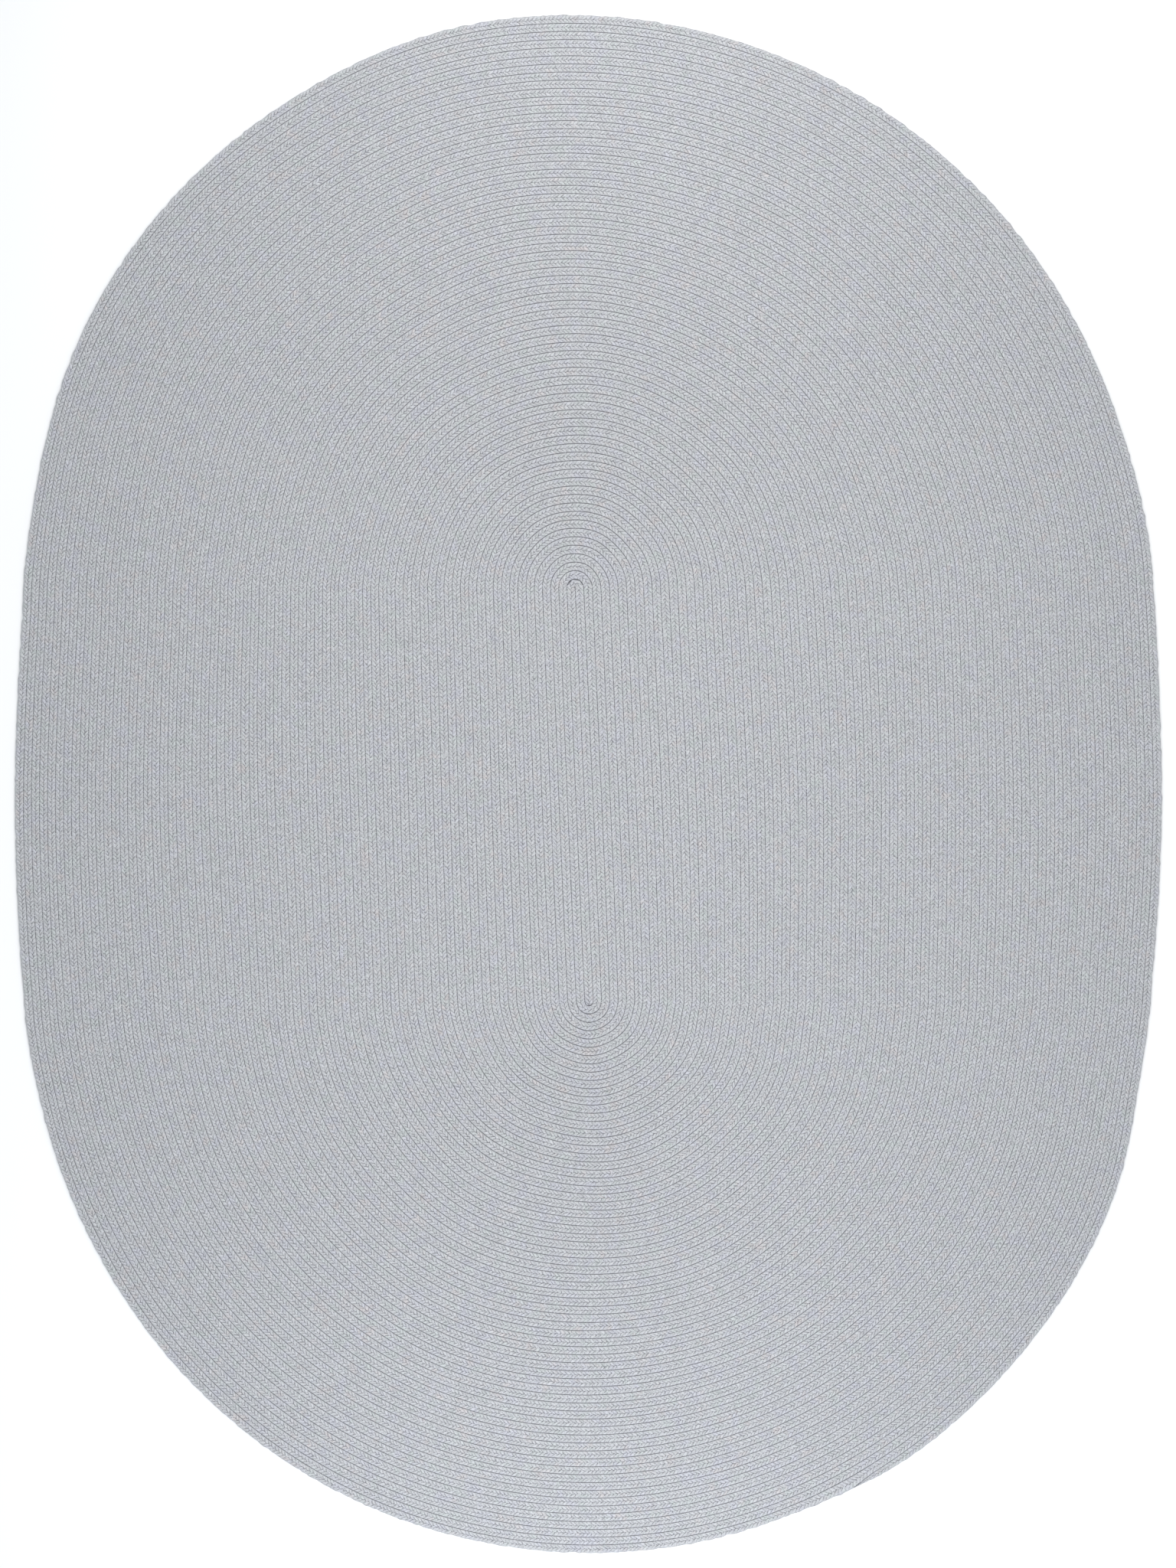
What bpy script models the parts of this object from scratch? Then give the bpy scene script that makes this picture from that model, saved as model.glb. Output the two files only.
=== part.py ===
"""Oval braided rug, lying flat: one flat braid coiled clockwise round a short straight
core and sewn edge to edge, with the outer end thinned down and tucked against the rim.

Metres. +X is the rug's right-hand side, +Y its top end, and it rests on z = 0. The rug
is one solid with a flat underside. Its upper face rises and falls once for every round
of the braid, along one unbroken spiral.

A place on the rug is given by how far the braid has been walked, counted in stretches,
and by how many rounds lie between it and the core line.
"""

import math

import bmesh
import bpy

# Driving dimensions, in metres
CORE_TOP = (-0.0309, 0.4703)  # the braid's first hairpin bend turns about this point
CORE_BOTTOM = (0.0024, -0.5206)  # the middle of the braid's rounded first end
ROUNDS = 69  # full rounds beside the core at the top end
MEAN_WIDTH = 0.0196  # of a round
BRAID_THICK = 0.009  # at the middle of a round
GROOVE_FLOOR = 0.006  # height of the seam between two rounds
RIM_HEIGHT = 0.0045  # where the outermost round bulges furthest
UNDERCUT = 0.0024  # how far the underside lies inside the rim
INNER_SPREAD = 0.03  # rounds at the core are this share wider than those at the rim
WAVER = 0.0025  # how far a seam strays to each side, midway between core and rim
WAVES = 9  # such strays in one lap of the rug

FACETS = [
    # along a side, round an end, out to this many rounds
    (3, 6, 5),
    (3, 12, 21),
    (3, 18, 50),
    (3, 24, ROUNDS + 1),
]
RIM_FACETS = (8, 45)  # the same for the outline

# Mean width of a round, in millimetres. A turn of the braid has four stretches: up the
# left side, over the top end, down the right side and round the bottom end.
LEFT_SIDE, TOP_END, RIGHT_SIDE, BOTTOM_END = range(4)
TURN = 4  # stretches in one turn
ROUND_WIDTHS = [
    # stretch, share of the stretch, width in mm
    (LEFT_SIDE, 0.00, 19.71),
    (LEFT_SIDE, 0.25, 19.79),
    (LEFT_SIDE, 0.50, 19.72),
    (LEFT_SIDE, 0.75, 19.46),
    (TOP_END, 0.00, 19.12),
    (TOP_END, 0.06, 18.99),
    (TOP_END, 0.16, 19.25),
    (TOP_END, 0.33, 19.57),
    (TOP_END, 0.44, 19.85),
    (TOP_END, 0.60, 19.75),
    (TOP_END, 0.75, 19.65),
    (TOP_END, 0.90, 19.69),
    (RIGHT_SIDE, 0.00, 20.04),
    (RIGHT_SIDE, 0.25, 20.08),
    (RIGHT_SIDE, 0.50, 20.02),
    (RIGHT_SIDE, 0.75, 19.75),
    (BOTTOM_END, 0.00, 19.33),
    (BOTTOM_END, 0.05, 19.13),
    (BOTTOM_END, 0.11, 19.26),
    (BOTTOM_END, 0.25, 19.17),
    (BOTTOM_END, 0.40, 19.25),
    (BOTTOM_END, 0.60, 19.23),
    (BOTTOM_END, 0.83, 19.25),
    (BOTTOM_END, 0.94, 19.45),
]

# The braid thins to its tail, which ends in a nub. The round inside it swells there and
# pushes the tail's inner edge outward. Both edges are in shares of a round's width,
# counted from where the last seam would run if all its rounds were even.
TAIL = [
    # degrees below the core's right-hand side, outer edge, inner edge
    (50.0, 1.00, 0.00),
    (54.0, 0.95, 0.00),
    (59.0, 0.72, 0.02),
    (59.8, 0.58, 0.12),
    (61.5, 0.46, 0.40),
    (65.0, 0.18, 0.18),
    (68.0, 0.00, 0.00),
]
TAIL_TIP = 61.5  # degrees, where the braid stops and the swollen round goes on alone
FIRST_END = -0.5  # rounds from the core line to the seam where the braid starts


def core_point(stretch, share):
    """The point of the core line that a stretch of braid is measured from."""
    up = {LEFT_SIDE: share, TOP_END: 1.0, RIGHT_SIDE: 1.0 - share, BOTTOM_END: 0.0}
    return [b + (t - b) * up[stretch] for b, t in zip(CORE_BOTTOM, CORE_TOP)]


def outward(stretch, share):
    """Unit direction from the core line towards the rim."""
    angle = {
        LEFT_SIDE: math.pi,
        TOP_END: math.pi * (1 - share),
        RIGHT_SIDE: 0.0,
        BOTTOM_END: -math.pi * share,
    }
    return math.cos(angle[stretch]), math.sin(angle[stretch])


def station(stretch, share):
    """Distance clockwise along the outline of a rug whose rounds were all even."""
    side = math.dist(CORE_TOP, CORE_BOTTOM)
    end = math.pi * ROUNDS * MEAN_WIDTH
    starts = (0.0, side, side + end, 2 * side + end)
    return starts[stretch] + share * (side if stretch in (LEFT_SIDE, RIGHT_SIDE) else end)


def round_width(stretch, share):
    """Mean width of a round at one heading: a smooth closed curve through the table."""
    lap = station(BOTTOM_END, 1.0)
    rows = [(station(row[0], row[1]), row[2] / 1000) for row in ROUND_WIDTHS]
    before = [(at - lap, width) for at, width in rows[-2:]]
    after = [(at + lap, width) for at, width in rows[:2]]
    rows = before + rows + after
    at = station(stretch, share)
    i = max(k for k in range(1, len(rows) - 2) if rows[k][0] <= at)
    (x0, y0), (x1, y1), (x2, y2), (x3, y3) = rows[i - 1 : i + 3]
    step = x2 - x1
    t = (at - x1) / step
    rise_1 = step * (y2 - y0) / (x2 - x0)
    rise_2 = step * (y3 - y1) / (x3 - x1)
    held = y1 + (y2 - y1) * t * t * (3 - 2 * t)
    return held + rise_1 * t * (1 - t) ** 2 - rise_2 * t * t * (1 - t)


def place(walked, rounds_out):
    """Point at a number of stretches along the braid and of rounds off the core line."""
    stretch, share = int(walked) % TURN, walked % 1
    x, y = core_point(stretch, share)
    across, up = outward(stretch, share)
    depth = min(max(rounds_out / ROUNDS, 0.0), 1.0)
    out = rounds_out * round_width(stretch, share) * (1 + INNER_SPREAD * (1 - depth))
    lap = station(stretch, share) / station(BOTTOM_END, 1.0)
    swing = math.sin(2 * math.pi * WAVES * lap + 7 * depth)
    out += WAVER * 4 * depth * (1 - depth) * swing
    return x + across * out, y + up * out


def tail_at(degrees):
    """Stretches walked to a bearing below the core's right-hand side, on the last lap."""
    return (ROUNDS - 1) * TURN + BOTTOM_END + degrees / 180


def tail_edges(walked):
    """The tail's outer and inner edge, in shares of a round's width."""
    rows = [(tail_at(degrees), *edges) for degrees, *edges in TAIL]
    if walked <= rows[0][0]:
        return rows[0][1:]
    if walked >= rows[-1][0]:
        return rows[-1][1:]
    i = max(k for k, row in enumerate(rows) if row[0] <= walked)
    t = (walked - rows[i][0]) / (rows[i + 1][0] - rows[i][0])
    return tuple(a + (b - a) * t for a, b in zip(rows[i][1:], rows[i + 1][1:]))


def even_seam(walked):
    """Rounds from the core line to a seam. The count grows on the two sides only."""
    turns, within = divmod(walked, TURN)
    on_left = min(within, 1.0)
    on_right = min(max(within - RIGHT_SIDE, 0.0), 1.0)
    return FIRST_END + turns + (on_left + on_right) / 2


def seam_line(walked):
    """Rounds out to the braid's inner edge."""
    return even_seam(walked) + tail_edges(walked)[1]


def outer_line(walked):
    """Rounds out to its outer edge, which is the seam that the next turn starts on."""
    swollen = tail_edges(walked + TURN)[1]
    return even_seam(walked) + tail_edges(walked)[0] + swollen


def crown_line(walked):
    return (seam_line(walked) + outer_line(walked)) / 2


def stops(first, last, facets=None):
    """Where a row gets its points: evenly along each stretch, and at the tail."""
    found = {first, last}
    for degrees, *_ in TAIL:
        found.update((tail_at(degrees), tail_at(degrees) + TURN))
    for stretch in range(math.floor(first), math.ceil(last)):
        here = (row[:2] for row in FACETS if stretch // TURN < row[2])
        on_side, on_end = facets or next(here)
        count = on_side if stretch % TURN in (LEFT_SIDE, RIGHT_SIDE) else on_end
        found.update(stretch + k / count for k in range(count))
    return sorted(at for at in found if first <= at <= last)


def zip_rows(bm, inner, outer):
    """Triangles between two rows of (stretches walked, vertex), both walked clockwise."""
    i = j = 0
    while i < len(inner) - 1 or j < len(outer) - 1:
        triangle = [inner[i][1], outer[j][1]]
        if j == len(outer) - 1 or (
            i < len(inner) - 1 and inner[i + 1][0] <= outer[j + 1][0]
        ):
            i += 1
            triangle.append(inner[i][1])
        else:
            j += 1
            triangle.append(outer[j][1])
        if len(set(triangle)) == 3:
            bm.faces.new(triangle)


def coiled_braid():
    bm = bmesh.new()
    end = tail_at(TAIL_TIP)

    def row(first, last, rounds_out, height, facets=None):
        found = stops(first, last, facets)
        points = [(*place(at, rounds_out(at)), height(at)) for at in found]
        return [(at, bm.verts.new(point)) for at, point in zip(found, points)]

    def crown_height(walked):
        fullness = min(outer_line(walked) - seam_line(walked), 1.0)
        return GROOVE_FLOOR + (BRAID_THICK - GROOVE_FLOOR) * fullness

    def rim_line(walked):
        return outer_line(walked - TURN)

    # The crown runs along the braid's middle, the seam along every turn's inner edge, and
    # the rim along the last turn's outer edge. The seam's first side lies between the
    # first two runs of braid: the first walks it upwards and the second down.
    crown = row(0.0, end, crown_line, crown_height)
    seam = row(float(RIGHT_SIDE), end, seam_line, lambda walked: GROOVE_FLOOR)
    rim = row(end, end + TURN, rim_line, lambda walked: RIM_HEIGHT, RIM_FACETS)
    bm.verts.remove(rim[0][1])
    rim[0] = seam[-1]
    shared = [(BOTTOM_END - at, v) for at, v in reversed(seam) if at <= BOTTOM_END]

    # The upper face: each turn's inner slope, its outer slope, and the rounded first end
    zip_rows(bm, shared + seam, crown)
    zip_rows(bm, crown, [(at - TURN, v) for at, v in seam + rim[1:] if at >= TURN])
    first_end = [v for at, v in seam if BOTTOM_END <= at <= TURN]
    for a, b in zip(first_end, first_end[1:]):
        bm.faces.new((crown[0][1], a, b))

    # The edge turns in below its bulge to the flat underside
    edge = [(at, rim_line(at), v) for at, v in rim]
    edge.append((end, crown_line(end), crown[-1][1]))
    inset = UNDERCUT / MEAN_WIDTH
    sole = [bm.verts.new((*place(at, out - inset), 0.0)) for at, out, _ in edge]
    bulge = [v for *_, v in edge]
    for i, k in enumerate([*range(1, len(edge)), 0]):
        bm.faces.new((bulge[i], sole[i], sole[k], bulge[k]))
    bm.faces.new(sole)

    # The origin is under the middle of the rug
    xs = [v.co.x for v in bm.verts]
    ys = [v.co.y for v in bm.verts]
    to_middle = (-(min(xs) + max(xs)) / 2, -(min(ys) + max(ys)) / 2, 0.0)
    bmesh.ops.translate(bm, verts=bm.verts, vec=to_middle)
    bmesh.ops.triangulate(bm, faces=[f for f in bm.faces if len(f.verts) > 3])
    bmesh.ops.recalc_face_normals(bm, faces=bm.faces)
    mesh = bpy.data.meshes.new("coiled_braid")
    bm.to_mesh(mesh)
    bm.free()
    return mesh


def heather_yarn():
    yarn = bpy.data.materials.new("heather_yarn")
    yarn.use_nodes = True
    shader = yarn.node_tree.nodes["Principled BSDF"]
    shader.inputs["Base Color"].default_value = (0.47, 0.49, 0.52, 1.0)
    shader.inputs["Roughness"].default_value = 0.92
    shader.inputs["Metallic"].default_value = 0.0
    return yarn


for old in list(bpy.data.objects):
    bpy.data.objects.remove(old, do_unlink=True)

rug = bpy.data.objects.new("coiled_braid", coiled_braid())
rug.data.materials.append(heather_yarn())
rug.data.shade_smooth()
rug.data.set_sharp_from_angle(angle=math.radians(60))
bpy.context.scene.collection.objects.link(rug)
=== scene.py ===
"""Oval braided rug, lying flat on a pale studio floor."""

import math

import bmesh
import bpy
import numpy as np
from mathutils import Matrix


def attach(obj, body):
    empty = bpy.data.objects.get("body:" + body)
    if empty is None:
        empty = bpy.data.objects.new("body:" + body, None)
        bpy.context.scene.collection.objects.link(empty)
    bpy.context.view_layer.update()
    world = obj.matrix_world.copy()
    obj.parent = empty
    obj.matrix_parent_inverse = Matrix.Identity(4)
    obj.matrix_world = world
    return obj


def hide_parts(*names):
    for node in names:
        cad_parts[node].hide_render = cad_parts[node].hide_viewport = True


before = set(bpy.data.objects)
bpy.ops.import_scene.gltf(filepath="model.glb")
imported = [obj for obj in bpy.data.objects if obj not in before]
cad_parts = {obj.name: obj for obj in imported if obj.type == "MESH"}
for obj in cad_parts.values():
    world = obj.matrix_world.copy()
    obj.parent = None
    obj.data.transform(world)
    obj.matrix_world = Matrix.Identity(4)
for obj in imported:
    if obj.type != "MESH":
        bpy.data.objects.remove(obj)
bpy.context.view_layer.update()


# ---- The route of the braid ---------------------------------------------------------
# One flat braid of wool-like yarn is coiled clockwise, round upon round, and each round is
# sewn to the one inside it. It starts in a rounded end at the foot of a short straight core
# and ends at the rim, where it is thinned down and tucked in beside a swollen round.

CORE_TOP = np.array((-0.0309, 0.4703))
CORE_BOTTOM = np.array((0.0024, -0.5206))
ROUNDS = 69
MEAN_WIDTH = 0.0196
INNER_SPREAD = 0.03  # share by which rounds are wider at the core, and narrower at the rim
WAVER = 0.0025  # how far a seam strays to each side, midway between core and rim
WAVES = 9  # such strays in one lap of the rug
FIRST_END = -0.5  # rounds from the core line to the seam where the braid starts
SWING_DRIFT = 7  # radians by which the wavering shifts from core to rim
POINT_GAP = 0.012  # about, from one point of the route to the next
FEWEST_STEPS = 16  # in any one stretch
NOSE_POINTS = 12  # round the first end
NOSE_FULLNESS = 1.0004  # just over one, so that the very tip keeps a little width
LEFT_SIDE, TOP_END, RIGHT_SIDE, BOTTOM_END = range(4)
TURN = 4
# The rim's distances from the core, taken off the photo by a measuring script, each
# divided by the rounds up to there
ROUND_WIDTHS = [
    # stretch, share of the stretch, mean width of a round in mm
    (LEFT_SIDE, 0.00, 19.71),
    (LEFT_SIDE, 0.25, 19.79),
    (LEFT_SIDE, 0.50, 19.72),
    (LEFT_SIDE, 0.75, 19.46),
    (TOP_END, 0.00, 19.12),
    (TOP_END, 0.06, 18.99),
    (TOP_END, 0.16, 19.25),
    (TOP_END, 0.33, 19.57),
    (TOP_END, 0.44, 19.85),
    (TOP_END, 0.60, 19.75),
    (TOP_END, 0.75, 19.65),
    (TOP_END, 0.90, 19.69),
    (RIGHT_SIDE, 0.00, 20.04),
    (RIGHT_SIDE, 0.25, 20.08),
    (RIGHT_SIDE, 0.50, 20.02),
    (RIGHT_SIDE, 0.75, 19.75),
    (BOTTOM_END, 0.00, 19.33),
    (BOTTOM_END, 0.05, 19.13),
    (BOTTOM_END, 0.11, 19.26),
    (BOTTOM_END, 0.25, 19.17),
    (BOTTOM_END, 0.40, 19.25),
    (BOTTOM_END, 0.60, 19.23),
    (BOTTOM_END, 0.83, 19.25),
    (BOTTOM_END, 0.94, 19.45),
]
TAIL = [
    # degrees below the core's right-hand side, outer edge, inner edge, in rounds
    (50.0, 1.00, 0.00),
    (54.0, 0.95, 0.00),
    (59.0, 0.72, 0.02),
    (59.8, 0.58, 0.12),
    (61.5, 0.46, 0.40),
    (65.0, 0.18, 0.18),
    (68.0, 0.00, 0.00),
]
TAIL_TIP = 61.5

side_length = float(np.linalg.norm(CORE_TOP - CORE_BOTTOM))
end_length = math.pi * ROUNDS * MEAN_WIDTH
stretch_lengths = np.array((side_length, end_length, side_length, end_length))
stretch_starts = np.array((0.0, *np.cumsum(stretch_lengths)))
lap_length = stretch_starts[-1]


def round_width(along):
    """Mean width of a round, that far along the outline: a smooth closed curve."""
    at = [stretch_starts[row[0]] + row[1] * stretch_lengths[row[0]] for row in ROUND_WIDTHS]
    width = [row[2] / 1000 for row in ROUND_WIDTHS]
    x = np.array([*(a - lap_length for a in at[-2:]), *at, *(a + lap_length for a in at[:2])])
    y = np.array([*width[-2:], *width, *width[:2]])
    i = np.searchsorted(x, along, side="right") - 1
    step = x[i + 1] - x[i]
    t = (along - x[i]) / step
    rise_1 = step * (y[i + 1] - y[i - 1]) / (x[i + 1] - x[i - 1])
    rise_2 = step * (y[i + 2] - y[i]) / (x[i + 2] - x[i])
    held = y[i] + (y[i + 1] - y[i]) * t * t * (3 - 2 * t)
    return held + rise_1 * t * (1 - t) ** 2 - rise_2 * t * t * (1 - t)


def place(walked, rounds_out):
    """Points at numbers of stretches along the braid and of rounds off the core line."""
    stretch = np.floor(walked).astype(int) % TURN
    share = walked % 1.0
    level = np.zeros_like(share)
    up = np.choose(stretch, (share, level + 1, 1 - share, level))
    turned = np.choose(stretch, (level + 1, 1 - share, level, -share)) * math.pi
    core = CORE_BOTTOM + (CORE_TOP - CORE_BOTTOM) * up[:, None]
    depth = np.clip(rounds_out / ROUNDS, 0, 1)
    along = stretch_starts[stretch] + share * stretch_lengths[stretch]
    out = rounds_out * round_width(along) * (1 + INNER_SPREAD * (1 - depth))
    swing = np.sin(2 * math.pi * WAVES * along / lap_length + SWING_DRIFT * depth)
    out += WAVER * 4 * depth * (1 - depth) * swing
    return core + np.stack((np.cos(turned), np.sin(turned)), 1) * out[:, None]


def tail_edge(walked, which):
    """The tail's outer or inner edge, in shares of a round's width."""
    bearings = [(ROUNDS - 1) * TURN + BOTTOM_END + row[0] / 180 for row in TAIL]
    return np.interp(walked, bearings, [row[which] for row in TAIL])


def even_seam(walked):
    """Rounds from the core line to a seam. The count grows on the two sides only."""
    turns, within = np.divmod(walked, TURN)
    on_left = np.clip(within, 0, 1)
    on_right = np.clip(within - RIGHT_SIDE, 0, 1)
    return FIRST_END + turns + (on_left + on_right) / 2


# Points about a finger's width apart, and closer where the first rounds turn sharply
braid_end = (ROUNDS - 1) * TURN + BOTTOM_END + TAIL_TIP / 180
stops = []
for stretch in range(math.ceil(braid_end)):
    bend = math.pi * (stretch / TURN + 0.5) * MEAN_WIDTH
    reach = side_length if stretch % TURN in (LEFT_SIDE, RIGHT_SIDE) else bend
    count = max(FEWEST_STEPS, math.ceil(reach / POINT_GAP))
    stops.append(stretch + np.arange(count) / count)
stops = np.concatenate(stops)
stops = np.append(stops[stops < braid_end], braid_end)
inner_edge = place(stops, even_seam(stops) + tail_edge(stops, 2))
swollen = tail_edge(stops + TURN, 2)
outer_edge = place(stops, even_seam(stops) + tail_edge(stops, 1) + swollen)
route = (inner_edge + outer_edge) / 2
half_width = np.linalg.norm(outer_edge - inner_edge, axis=1) / 2

# The rounded first end reaches half a width back from the foot of the core
heading = (CORE_TOP - CORE_BOTTOM) / side_length
back = np.linspace(1, 0, NOSE_POINTS, endpoint=False)
rounded = route[0] - heading * half_width[0] * back[:, None]
route = np.concatenate((rounded, route))
nose = half_width[0] * np.sqrt(NOSE_FULLNESS - back**2)
half_width = np.concatenate((nose, half_width))

# The origin is under the middle of the rug
last_laps = slice(len(stops) - np.count_nonzero(stops > braid_end - 2 * TURN), None)
reach = np.concatenate((outer_edge[last_laps], inner_edge[last_laps]))
route -= (reach.min(0) + reach.max(0)) / 2

braid_route = bpy.data.curves.new("braid_route", "CURVE")
braid_route.dimensions = "3D"
spline = braid_route.splines.new("POLY")
spline.points.add(len(route) - 1)
spline.points.foreach_set("co", np.column_stack((route, 0 * half_width, half_width)).ravel())
spline.points.foreach_set("radius", half_width)
route_guide = bpy.data.objects.new("braid_route", braid_route)
bpy.context.scene.collection.objects.link(route_guide)


# ---- Two plaits on each side of the braid -------------------------------------------
# A flat braid of three thick strands shows two staggered columns of plaits. Each strand
# dives under at the middle and comes up again to fold round the edge, so every plait leans
# forward to its outer end. The underside is pressed flat by the rug's weight.

THICK = 0.0082  # at the middle of a plait
AT_EDGE = 0.0046  # height of the crease where a plait folds round the edge
BETWEEN = 0.0058  # height of the crease between two plaits of one column
AT_MIDDLE = 0.0052  # height where the two columns cross
LEAN = 0.9  # plaits that a plait's outer end lies ahead of its inner one
CROSSING = 0.12  # how far a plait's tip reaches past the middle, in half widths
OVERLAP = 1.05  # half widths to the edge, so the rounds are drawn tight together
PITCH = 0.0099  # length of braid taken by one plait of a column
CREASE_AT = 0.52  # half widths to a point about halfway along the crease between two plaits
CREASE_LAG = 0.06  # plaits that this point lies behind the place of the plait after it
INNER_HUMP = (0.26, 0.27)  # plaits along and half widths across, to a plait's first top
OUTER_HUMP = (0.68, 0.70)  # and to its second
OUTER_HEIGHT = 0.97  # of the second top, as a share of the first
SOLE_AT = 0.72  # half widths to the edge of the underside
STRAND_ALONG = 0.67  # the fibres of a plait run this far along the braid
STRAND_ACROSS = 0.74  # for this far across it

bm = bmesh.new()
# How far a face lies along its plait, which column it is in, and how deep in a crease a
# point lies
home = bm.faces.layers.float.new("home")
column = bm.faces.layers.float.new("column")
fold = bm.verts.layers.float.new("fold")
strand_map = bm.loops.layers.uv.new("strand")


def knot_point(along, across, height, depth=1.0):
    """A point of the pattern: plaits along, half widths across, and metres up."""
    point = bm.verts.new((along, across, height))
    point[fold] = depth
    return point


middle = [knot_point(j / 2 - 0.5, CROSSING * (-1) ** j, AT_MIDDLE) for j in range(6)]
soles = {}
for side, first in ((1, 0), (-1, 1)):
    # This column's creases, from the middle out to the edge
    start = first / 2
    between = []
    edge = []
    for k in range(3):
        between.append(knot_point(start + k - CREASE_LAG, CREASE_AT * side, BETWEEN))
        edge.append(knot_point(start + k + LEAN - 0.5, OVERLAP * side, AT_EDGE))
    for k in range(2):
        at = start + k
        tips = middle[2 * k + first : 2 * k + first + 3]
        around = [*tips, between[k + 1], edge[k + 1], edge[k], between[k]]
        ahead, aside = INNER_HUMP
        inner_hump = knot_point(at + ahead, aside * side, THICK, 0.0)
        ahead, aside = OUTER_HUMP
        outer_hump = knot_point(at + ahead, aside * side, THICK * OUTER_HEIGHT, 0.0)
        fan = [(inner_hump, around[i], around[i + 1]) for i in (0, 1, 2)]
        fan += [(outer_hump, around[i], around[i + 1]) for i in (3, 4, 5)]
        fan += [(inner_hump, around[6], around[0])]
        fan += [(inner_hump, around[3], outer_hump), (inner_hump, outer_hump, around[6])]
        for corners in fan:
            face = bm.faces.new(corners if side > 0 else corners[::-1])
            face.smooth = True
            face[home] = sum(v.co.x for v in corners) / 3 - at
            face[column] = side
            for loop in face.loops:
                off = loop.vert.co
                ahead = (off.x - at) * PITCH
                aside = off.y * MEAN_WIDTH / 2
                loop[strand_map].uv = (
                    aside * STRAND_ACROSS * side + ahead * STRAND_ALONG,
                    ahead * STRAND_ACROSS - aside * STRAND_ALONG * side,
                )
    # The underside, joined on at every second plait
    soles[side] = [
        knot_point(start + k + LEAN - 0.5, SOLE_AT * side, 0.0, 0.0) for k in (0, 2)
    ]
    under = [(edge[0], edge[1], soles[side][0]), (edge[1], edge[2], soles[side][1])]
    under += [(edge[1], soles[side][1], soles[side][0])]
    for corners in under:
        face = bm.faces.new(corners if side > 0 else corners[::-1])
        face.smooth = True
        face[home] = sum(v.co.x for v in corners) / 3 - start
right_back, right_front = soles[1]
left_back, left_front = soles[-1]
for corners in (
    (right_back, right_front, left_back),
    (right_front, left_front, left_back),
):
    face = bm.faces.new(corners)
    face.smooth = True
    face[home] = sum(v.co.x for v in corners) / 3
for rim in bm.edges:
    rim.smooth = any(v.co.z > THICK - 0.001 for v in rim.verts)
plaits = bpy.data.meshes.new("plaits")
bm.to_mesh(plaits)
bm.free()


# ---- The material of the yarn --------------------------------------------------------
# Matt heathered yarn, pale blue-grey, its strands spun from fibres of slightly different
# greys, greens, lilacs and warm tones, so that no two plaits have quite the same colour.
# Shade in the creases between plaits and in the seams between rounds is painted into the colour.


class Wire:
    """One socket of a node tree. Arithmetic written with it lays the Math nodes."""

    def __init__(self, tree, socket):
        self.tree = tree
        self.socket = socket

    @staticmethod
    def lay(tree, kind, settings=None, values=None, output=0):
        """Adds a node, sets it, fills or links its inputs, and returns one output, if any."""
        node = tree.nodes.new(kind)
        for name, value in (settings or {}).items():
            setattr(node, name, value)
        for name, value in (values or {}).items():
            if isinstance(value, Wire):
                tree.links.new(value.socket, node.inputs[name])
            else:
                node.inputs[name].default_value = value
        return Wire(tree, node.outputs[output]) if node.outputs else None

    def other(self, name):
        """Another output of the same node."""
        return Wire(self.tree, self.socket.node.outputs[name])

    def reckon(self, operation, *terms):
        """A Math node with this as its first term, or Vector Math if a term is a vector."""
        return self.sum_of(operation, self, *terms)

    def sum_of(self, operation, *terms):
        """A Math node in this tree, or a Vector Math one where a term is a vector."""
        wired = [term for term in terms if isinstance(term, Wire)]
        kind = "ShaderNodeMath"
        if any(term.socket.type in ("VECTOR", "RGBA") for term in wired):
            kind = "ShaderNodeVectorMath"
            terms = [(term,) * 3 if isinstance(term, (int, float)) else term for term in terms]
        return Wire.lay(self.tree, kind, {"operation": operation}, dict(enumerate(terms)))

    def __add__(self, term):
        return self.reckon("ADD", term)

    def __radd__(self, term):
        return self.sum_of("ADD", term, self)

    def __sub__(self, term):
        return self.reckon("SUBTRACT", term)

    def __rsub__(self, term):
        return self.sum_of("SUBTRACT", term, self)

    def __mul__(self, term):
        return self.reckon("MULTIPLY", term)

    def __rmul__(self, term):
        return self.sum_of("MULTIPLY", term, self)

    def __truediv__(self, term):
        return self.reckon("DIVIDE", term)

    def __rtruediv__(self, term):
        return self.sum_of("DIVIDE", term, self)

    def blend(self, low, high):
        """A colour between two others, by this share."""
        shared = {0: self, 6: low, 7: high}
        return Wire.lay(self.tree, "ShaderNodeMix", {"data_type": "RGBA"}, shared, 2)

    def between(self, low, high):
        """0 where this is low, 1 where it is high, and held there beyond."""
        span = {"Value": self, "From Min": low, "From Max": high}
        return Wire.lay(self.tree, "ShaderNodeMapRange", None, span)


YARN = (0.578, 0.585, 0.606, 1.0)
GREENISH = (0.561, 0.589, 0.592, 1.0)
LILAC = (0.568, 0.574, 0.624, 1.0)
WARM = (0.602, 0.576, 0.583, 1.0)
# Colour of the painted shade in creases and seams
CREASE_SHADE = (0.09, 0.092, 0.103, 1.0)
PATCH_SCALE = 34.0  # patches of tint in a metre
DEPTH_SCALE = 420.0  # dots of a crease in a metre
FIBRES = (170.0, 800.0, 1.0)  # streaks in a metre, along the strand and across it
FLECKS = (200.0, 480.0, 1.0)
FIBRE_SHIFT = 90.0  # so that each plait has streaks of its own
FLECK_SHIFT = 70.0
RIM_CREASE_LEAN = 60.0  # plaits in a metre of height
RIM_CREASE_SHIFT = 0.37  # plaits
RIPPLE_ALONG = 900.0  # radians of the twisted yarns' ripple in a metre, along the strand
RIPPLE_ACROSS = 2900.0  # and across it

heather_yarn = bpy.data.materials.new("heather_yarn")
heather_yarn.use_nodes = True
tree = heather_yarn.node_tree
tree.nodes.clear()


def kept(name, output="Fac"):
    """What the braid's own mesh keeps under this name."""
    return Wire.lay(tree, "ShaderNodeAttribute", {"attribute_name": name}, output=output)


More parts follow.
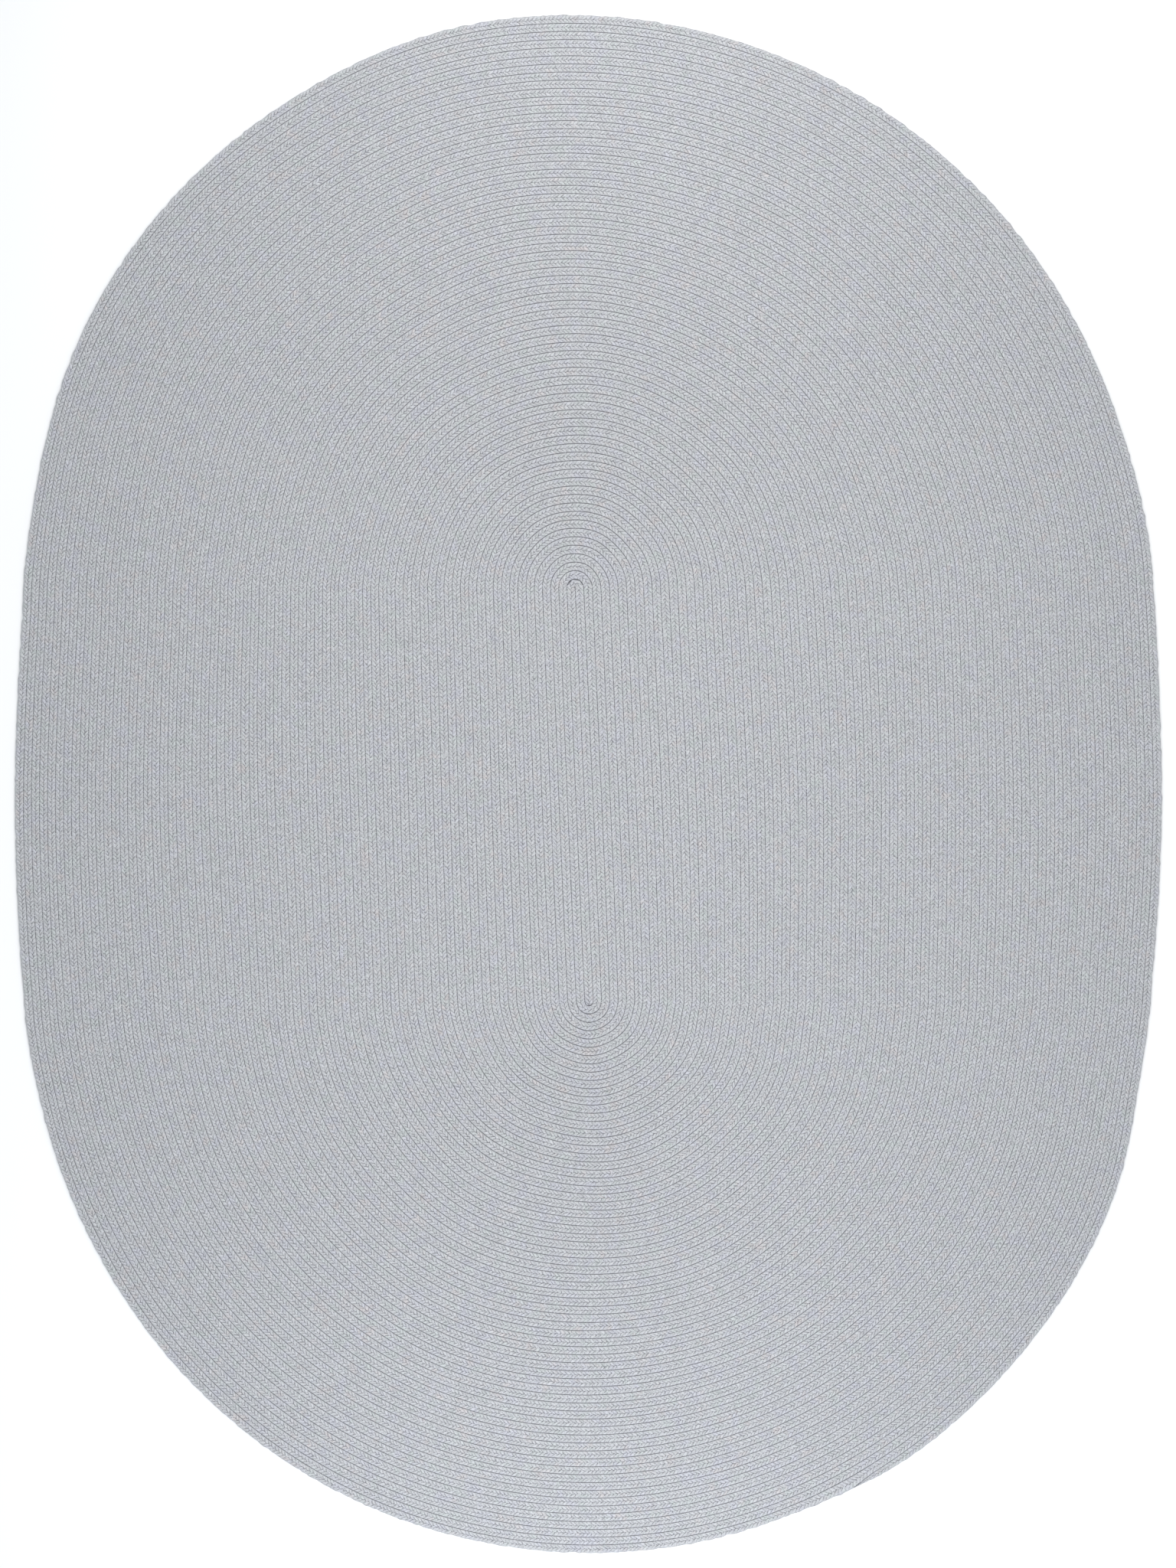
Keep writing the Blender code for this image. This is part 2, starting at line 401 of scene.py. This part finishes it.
def clouds(vector, scale, detail, output=0):
    """Soft noise over a vector."""
    values = {"Vector": vector, "Scale": scale, "Detail": detail}
    return Wire.lay(tree, "ShaderNodeTexNoise", None, values, output)


def parted(vector):
    """The parts of a vector or colour, the first of them in hand."""
    return Wire.lay(tree, "ShaderNodeSeparateXYZ", None, {0: vector})


space = Wire.lay(tree, "ShaderNodeTexCoord", output="Object")
strand = Wire.lay(tree, "ShaderNodeUVMap", {"uv_map": "strand"})
plait_tone = kept("tone", "Color")
tone = parted(plait_tone)
off_middle = kept("off_middle")
on_rim = kept("on_rim")

# Soft patches of tint, a few plaits across, that differ a little from plait to plait
patch = parted(clouds(space, PATCH_SCALE, 1.0, "Color"))
greenness = (patch + (tone - 0.5) * 0.10).between(0.50, 0.72)
lilacness = (patch.other("Y") + (tone.other("Y") - 0.5) * 0.10).between(0.50, 0.72)
warmth = (patch.other("Z") + (tone.other("Z") - 0.5) * 0.16).between(0.60, 0.82)
tinted = warmth.blend(lilacness.blend(greenness.blend(YARN, GREENISH), LILAC), WARM)

# Fine streaks where the fibres run along the strand
fibres = clouds(strand * FIBRES + plait_tone * FIBRE_SHIFT, 1.0, 2.0)
flecks = clouds(strand * FLECKS + plait_tone * FLECK_SHIFT, 1.0, 0.0)
lightness = 0.725 + tone.other("Y") * 0.03 + flecks.between(0.30, 0.66) * 0.235
lit = tinted * lightness

# Painted shade: the creases between plaits and the seams between rounds are painted dark, and the
# creases' painted shade fades towards the edge of a round. The seams' painted shade is stronger
# where the braid runs across the rug, at the two ends, standing in for shadow cast into them by
# light from the head and foot. Both break up into dots.
depths = clouds(space, DEPTH_SCALE, 0.0)
crease_shade = kept("fold").between(0.55, 1.0) * depths.between(0.32, 0.56)
crease_shade = crease_shade * (1.0 - off_middle * 0.65)
seam = off_middle.between(0.84, 0.98)
seam = seam * (depths + kept("opened") * 0.16).between(0.20, 0.57)
painted_shade = seam.reckon("MAXIMUM", crease_shade) * (1.0 - on_rim * 0.8)

# On the rim the painted crease shade runs on down the side, where the plaits fold round it
down = parted(space).other("Z")
rim_crease_shade = (kept("along") - down * RIM_CREASE_LEAN + RIM_CREASE_SHIFT).reckon("FRACT")
rim_crease_shade = (rim_crease_shade - 0.5).reckon("ABSOLUTE").between(0.36, 0.48)
painted_shade = painted_shade.reckon("MAXIMUM", rim_crease_shade * on_rim * depths.between(0.25, 0.60) * 0.8)
# The yarn's colour, darkened by the painted shade in creases and seams
yarn_colour = painted_shade.blend(lit, CREASE_SHADE)

# The strand's twisted yarns stand up under the fibres
along_strand = parted(strand)
ripple = along_strand.other("Y") * RIPPLE_ACROSS + along_strand * RIPPLE_ALONG
yarns = ripple.reckon("SINE")
relief = fibres * 0.6 + yarns * 0.25
raised = Wire.lay(
    tree, "ShaderNodeBump", None, {"Height": relief, "Strength": 0.7, "Distance": 0.0006}
)
shader = Wire.lay(
    tree,
    "ShaderNodeBsdfPrincipled",
    None,
    {
        "Base Color": yarn_colour,
        "Roughness": 0.92,
        "Specular IOR Level": 0.2,
        "Sheen Weight": 0.12,
        "Sheen Roughness": 0.6,
        "Normal": raised,
    },
)
Wire.lay(tree, "ShaderNodeOutputMaterial", None, {"Surface": shader})


# ---- The braid, length by length -----------------------------------------------------
# One flat braid, its strands pieced as the work goes on, is laid on the route and pressed to
# the width that each round has. No plait is quite like the next. Here it is cut in lengths
# that follow one another, where the real braid runs on.

LENGTHS = 32  # each has a map of its own
MAP_ROWS = 27  # that each map is cut in
ROW_START = 1.5  # plaits of room before a row of the map
ROW_ROOM = 4.5  # plaits of room in all
TOP_AT = 0.44  # middle of the upper side in a row, as a share of the row's height
TOP_HALF = 0.38  # half a braid's width there
UNDER_AT = 0.91  # middle of the underside
UNDER_HALF = 0.05
SEED = 3.0
SPARE_ROUTE = 0.6  # plaits by which the route is longer than its count of plaits
DRAWN_BACK = 0.1  # plaits by which the pattern is moved towards the first end
STRAY_ALONG = 0.34  # plaits between the two furthest that a point may stray along the braid
STRAY_ACROSS = 0.09  # the same across it, as a share of the point's distance from the middle
STRAY_UP = 0.10  # the same in height, as a share
FREE_ABOVE = 0.004  # height from which a point strays in full
SWELLS = 0.11  # slow rises of the braid in one plait's length
FRAYS = 0.45  # frays of the rim in one plait's length
RIM_FRAY = 0.6  # half widths between the furthest in and the furthest out
RIM_SIDE = 0.71  # half widths, just short of the edge of the underside
THIN_BRAID = 0.45  # height of the braid where it has no width left, as a share

plaiting = bpy.data.node_groups.new("plaiting", "GeometryNodeTree")
sockets = plaiting.interface
for name, kind, direction in (
    ("Geometry", "NodeSocketGeometry", "INPUT"),
    ("Route", "NodeSocketObject", "INPUT"),
    ("Plaits in all", "NodeSocketInt", "INPUT"),
    ("First plait", "NodeSocketInt", "INPUT"),
    ("Pairs", "NodeSocketInt", "INPUT"),
    ("Unevenness", "NodeSocketFloat", "INPUT"),
    ("Even width", "NodeSocketFloat", "INPUT"),
    ("Rim from", "NodeSocketFloat", "INPUT"),
    ("Seed", "NodeSocketFloat", "INPUT"),
    ("Rows of map", "NodeSocketInt", "INPUT"),
    ("Yarn", "NodeSocketMaterial", "INPUT"),
    ("Geometry", "NodeSocketGeometry", "OUTPUT"),
):
    sockets.new_socket(name, in_out=direction, socket_type=kind)
given = Wire.lay(plaiting, "NodeGroupInput")


def lay(kind, settings=None, values=None, output=0):
    """A node of the plaiting tree."""
    return Wire.lay(plaiting, kind, settings, values, output)


def separate(vector):
    return lay("ShaderNodeSeparateXYZ", None, {0: vector})


def combine(x, y, z):
    return lay("ShaderNodeCombineXYZ", None, {0: x, 1: y, 2: z})


def keep(name, value, domain="POINT", kind="FLOAT"):
    """The strip, with a value kept on it under this name."""
    return lay(
        "GeometryNodeStoreNamedAttribute",
        {"data_type": kind, "domain": domain},
        {"Geometry": strip, "Name": name, "Value": value},
    )


def wander(along, detail):
    """Noise along the braid."""
    values = {"W": along + given.other("Seed"), "Scale": 1.0, "Detail": detail}
    return lay("ShaderNodeTexNoise", {"noise_dimensions": "1D"}, values)


# Pairs of plaits in a row, knotted into one strip
row = lay("GeometryNodeMeshLine", None, {"Count": given.other("Pairs"), "Offset": (2.0, 0.0, 0.0)})
laid = lay("GeometryNodeInstanceOnPoints", None, {"Points": row, "Instance": given})
strip = lay("GeometryNodeRealizeInstances", None, {"Geometry": laid})
strip = lay("GeometryNodeMergeByDistance", None, {"Geometry": strip, "Distance": 0.001})

# Each plait's own number decides its tone
point = separate(lay("GeometryNodeInputPosition"))
from_plait = lay("GeometryNodeInputNamedAttribute", None, {"Name": "home"})
side = lay("GeometryNodeInputNamedAttribute", None, {"Name": "column"})
plait = point - from_plait
numbered = combine(plait + given.other("First plait"), side, given.other("Seed"))
tones = lay("ShaderNodeTexWhiteNoise", None, {"Vector": numbered}, "Color")
strip = keep("tone", tones, "FACE", "FLOAT_COLOR")
strip = keep("plait", plait, "FACE")

# A map of the length, cut in rows that lie one above the other
own_plait = lay("GeometryNodeInputNamedAttribute", None, {"Name": "plait"})
plaits_in_row = given.other("Pairs") * 2.0 / given.other("Rows of map")
map_row = ((own_plait + 0.01) / plaits_in_row).reckon("FLOOR")
map_row = map_row.reckon("MINIMUM", given.other("Rows of map") - 1.0)
map_x = (point - map_row * plaits_in_row + ROW_START) / (plaits_in_row + ROW_ROOM)
on_top = side.reckon("ABSOLUTE")
top_y = TOP_AT + point.other("Y") * TOP_HALF
sole_y = UNDER_AT + point.other("Y") * UNDER_HALF
map_y = (map_row + top_y * on_top + sole_y * (1.0 - on_top)) / given.other("Rows of map")
strip = keep("OFBake", combine(map_x, map_y, 0.0), "CORNER", "FLOAT2")

# No plait is quite even, in its place or in its height
walked = point + given.other("First plait")
at = combine(walked, point.other("Y"), given.other("Seed"))
stray = separate(lay("ShaderNodeTexWhiteNoise", None, {"Vector": at}, "Color") - 0.5)
uneven = given.other("Unevenness")
height_here = point.other("Z")
free = height_here.between(0.0, FREE_ABOVE)
along_braid = walked + stray * uneven * STRAY_ALONG
across_braid = point.other("Y") * (1.0 + stray.other("Y") * uneven * STRAY_ACROSS)
lift = stray.other("Z") * STRAY_UP + (wander(walked * SWELLS, 2.0) - 0.5) * STRAY_UP
height_here = height_here * (1.0 + lift * uneven * free)
strip = keep("off_middle", across_braid.reckon("ABSOLUTE"))

# Onto the route, and to the width of the round. The rim is a little frayed
route_in = lay("GeometryNodeObjectInfo", None, {"Object": given.other("Route")}, "Geometry")
whole = lay("GeometryNodeCurveLength", None, {"Curve": route_in})
pitch = whole / (given.other("Plaits in all") + SPARE_ROUTE)
walked_length = (along_braid - DRAWN_BACK) * pitch
is_outer = point.other("Y").reckon("GREATER_THAN", RIM_SIDE)
on_rim = is_outer * walked_length.reckon("GREATER_THAN", given.other("Rim from"))
frayed = wander(walked * FRAYS, 1.0)
across_braid = across_braid + (frayed - 0.5) * on_rim * uneven * RIM_FRAY
half = lay(
    "GeometryNodeSampleCurve",
    {"mode": "LENGTH", "data_type": "FLOAT", "use_all_curves": True},
    {"Curves": route_in, "Value": lay("GeometryNodeInputRadius"), "Length": walked_length},
)
heading_here = separate(half.other("Tangent"))
outward = combine(heading_here.other("Y") * -1.0, heading_here, 0.0)
fullness = (half / given.other("Even width")).between(0.0, 1.0)
height_here = height_here * (THIN_BRAID + fullness * (1 - THIN_BRAID))
placed = half.other("Position") + outward * (across_braid * half)
placed = placed + combine(0.0, 0.0, height_here)
strip = keep("on_rim", on_rim)
strip = keep("along", point)
# How far the braid runs across the rug, which makes the painted seam shade stronger at the two
# ends
strip = keep("opened", heading_here.reckon("ABSOLUTE"))
strip = lay("GeometryNodeSetPosition", None, {"Geometry": strip, "Position": placed})
strip = lay("GeometryNodeRealizeInstances", None, {"Geometry": strip})
strip = lay("GeometryNodeSetMaterial", None, {"Geometry": strip, "Material": given.other("Yarn")})
lay("NodeGroupOutput", None, {"Geometry": strip})

steps = np.linalg.norm(np.diff(route, axis=0), axis=1)
braid_length = float(steps.sum())
last_lap = np.count_nonzero(stops > braid_end - TURN)
rim_from = braid_length - float(steps[-last_lap:].sum())
pairs_in_all = round(braid_length / PITCH / 2)
cuts = [round(pairs_in_all * k / LENGTHS) for k in range(LENGTHS + 1)]
socket_ids = {item.name: item.identifier for item in sockets.items_tree if item.in_out == "INPUT"}
for k in range(LENGTHS):
    piece = bpy.data.objects.new(f"braid_length_{k + 1:02d}", plaits)
    bpy.context.scene.collection.objects.link(piece)
    modifier = piece.modifiers.new("plaiting", "NODES")
    modifier.node_group = plaiting
    for name, value in (
        ("Route", route_guide),
        ("Plaits in all", 2 * pairs_in_all),
        ("First plait", 2 * cuts[k]),
        ("Pairs", cuts[k + 1] - cuts[k]),
        ("Unevenness", 1.0),
        ("Even width", MEAN_WIDTH / 2),
        ("Rim from", rim_from),
        ("Seed", SEED),
        ("Rows of map", MAP_ROWS),
        ("Yarn", heather_yarn),
    ):
        modifier[socket_ids[name]] = value
    bpy.context.view_layer.update()
    made = piece.evaluated_get(bpy.context.evaluated_depsgraph_get())
    length = bpy.data.meshes.new_from_object(made)
    piece.modifiers.remove(modifier)
    # Each end is bound off, so the length is closed
    bm = bmesh.new()
    bm.from_mesh(length)
    bmesh.ops.holes_fill(bm, edges=[e for e in bm.edges if e.is_boundary], sides=0)
    bmesh.ops.triangulate(bm, faces=[f for f in bm.faces if len(f.verts) > 3])
    bm.to_mesh(length)
    bm.free()
    length.name = piece.name
    piece.data = length
    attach(piece, "root")
    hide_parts("coiled_braid")
bpy.data.objects.remove(route_guide)


# ---- The studio ----------------------------------------------------------------------
# A plain pale floor, soft lights all round and overhead, and a camera straight above that
# takes in the whole rug. None of this belongs to the rug.

FLOOR_REACH = 150.0
FLOOR_DROP = 0.0004  # just under the rug
floor_mesh = bpy.data.meshes.new("floor")
sides = ((-1, -1), (1, -1), (1, 1), (-1, 1))
corners = [(x * FLOOR_REACH, y * FLOOR_REACH, -FLOOR_DROP) for x, y in sides]
floor_mesh.from_pydata(corners, [], [(0, 1, 2, 3)])
floor = bpy.data.objects.new("floor", floor_mesh)
bpy.context.scene.collection.objects.link(floor)
pale = bpy.data.materials.new("pale_floor")
pale.use_nodes = True
paint = pale.node_tree.nodes["Principled BSDF"].inputs
paint["Base Color"].default_value = (0.9, 0.9, 0.9, 1)
paint["Roughness"].default_value = 0.9
floor_mesh.materials.append(pale)

studio = bpy.data.worlds.new("studio")
studio.use_nodes = True
daylight = studio.node_tree.nodes["Background"].inputs
daylight["Color"].default_value = (0.92, 0.96, 1.0, 1)
daylight["Strength"].default_value = 0.78
bpy.context.scene.world = studio
bpy.context.scene.view_settings.view_transform = "Standard"
# The denoiser's prefilter wipes away the finest creases of the yarn
bpy.context.scene.cycles.denoising_prefilter = "NONE"


def softbox(name, at, wide, watts, tint):
    """A square area light that looks at the middle of the rug."""
    lamp = bpy.data.lights.new(name, "AREA")
    lamp.shape = "SQUARE"
    lamp.size = wide
    lamp.energy = watts
    lamp.color = tint
    box = bpy.data.objects.new(name, lamp)
    box.location = at
    towards = -box.location
    box.rotation_euler = towards.to_track_quat("-Z", "Y").to_euler()
    bpy.context.scene.collection.objects.link(box)


softbox("overhead", at=(0.35, 0.1, 3.2), wide=1.6, watts=31, tint=(1.0, 0.955, 0.90))
softbox("head_end", at=(0.2, 2.6, 1.6), wide=1.2, watts=24, tint=(1.0, 0.99, 0.985))
softbox("foot_end", at=(0.0, -2.6, 1.6), wide=1.2, watts=27, tint=(0.94, 0.96, 1.0))

HEIGHT = 9.0
ACROSS = 3.754  # metres of floor down the picture's long side
SENSOR = 36.0
eye = bpy.data.cameras.new("eye")
eye.lens = SENSOR * HEIGHT / ACROSS
eye.sensor_width = SENSOR
eye.clip_end = 200.0
camera = bpy.data.objects.new("eye", eye)
camera.location = (-0.0010, 0.0, HEIGHT)
bpy.context.scene.collection.objects.link(camera)
bpy.context.scene.camera = camera
